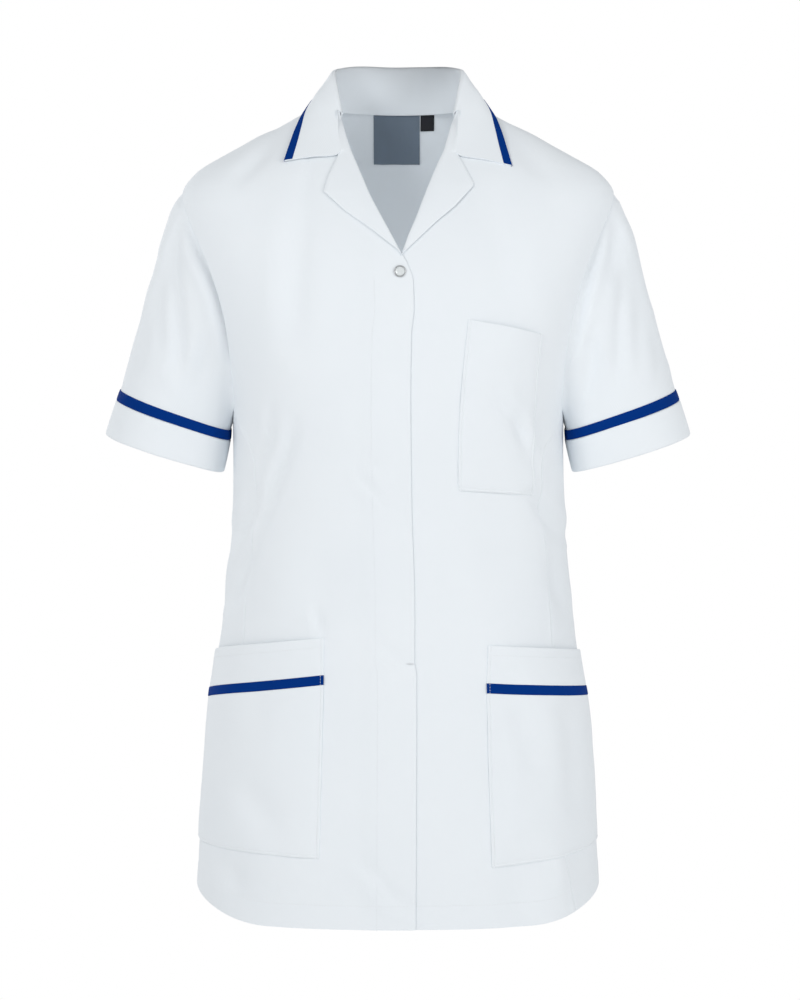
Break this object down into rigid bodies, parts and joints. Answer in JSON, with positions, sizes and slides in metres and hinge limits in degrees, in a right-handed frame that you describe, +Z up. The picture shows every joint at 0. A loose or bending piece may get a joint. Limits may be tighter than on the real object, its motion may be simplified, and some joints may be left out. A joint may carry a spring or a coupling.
{
  "type": "medical tunic",
  "caption": "Hollow short-sleeved tunic in thin cloth: notched collar, fly front, princess seams, turned cuffs, patch pockets and narrow contrast tape.",
  "frame": {"origin": "midway between the shoulders, level with the seam where the back joins the collar", "axes": "+Z up, -Y to the front, +X to the wearer's left"},
  "size_m": [0.5358, 0.2605, 0.7761],
  "materials": {
    "white_polycotton": "plain twill, matt",
    "royal_blue_tape": "woven, matt",
    "pearl": "glossy",
    "nickel": "polished",
    "woven_label": "fine weave, bare",
    "black_tab": "fine weave, bare"
  },
  "bodies": {
    "root": {"back": "white_polycotton", "front_right": "white_polycotton", "front_left": "white_polycotton", "side_front_right": "white_polycotton", "side_front_left": "white_polycotton", "sleeve_right": "white_polycotton", "sleeve_left": "white_polycotton", "cuff_right": "white_polycotton", "cuff_left": "white_polycotton", "cuff_trim_right": "royal_blue_tape", "cuff_trim_left": "royal_blue_tape", "collar": "white_polycotton", "collar_trim": "royal_blue_tape", "lapel_right": "white_polycotton", "lapel_left": "white_polycotton", "chest_pocket": "white_polycotton", "hip_pocket_right": "white_polycotton", "hip_pocket_left": "white_polycotton", "hip_pocket_band_right": "white_polycotton", "hip_pocket_band_left": "white_polycotton", "hip_pocket_trim_right": "royal_blue_tape", "hip_pocket_trim_left": "royal_blue_tape", "stud_cap": "pearl", "stud_ring": "nickel", "neck_label": "woven_label", "size_tab": "black_tab"}
  },
  "joints": []
}
